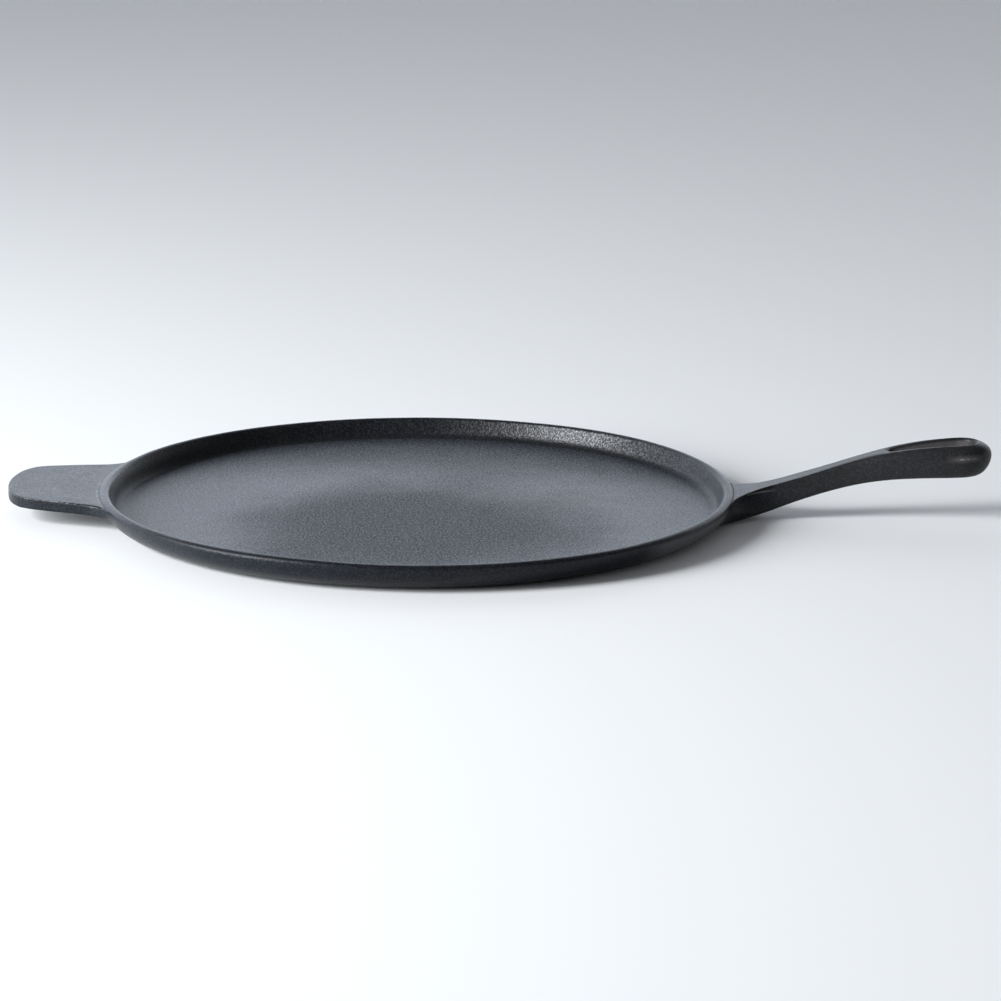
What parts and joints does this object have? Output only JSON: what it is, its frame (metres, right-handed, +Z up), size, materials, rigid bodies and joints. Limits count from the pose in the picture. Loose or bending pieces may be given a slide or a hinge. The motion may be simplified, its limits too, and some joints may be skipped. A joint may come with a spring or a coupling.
{
  "type": "cast iron griddle pan",
  "caption": "Round cast iron griddle pan with a low rim, a flat helper tab and a rising handle that ends in a slotted grip for hanging.",
  "frame": {"origin": "centre of the flat underside that the pan stands on", "axes": "+Z up out of the dish, +X along the handle towards its grip, +Y to the left of the handle seen from the dish"},
  "size_m": [0.4654, 0.3, 0.0376],
  "materials": {
    "cast_iron": "as cast, fine pebbled grain, dry blue-grey season with paler worn edges"
  },
  "bodies": {
    "root": {"cooking_floor": "cast_iron", "side_wall": "cast_iron", "helper_tab": "cast_iron", "handle_root": "cast_iron", "handle_shank": "cast_iron", "handle_grip": "cast_iron"}
  },
  "joints": []
}
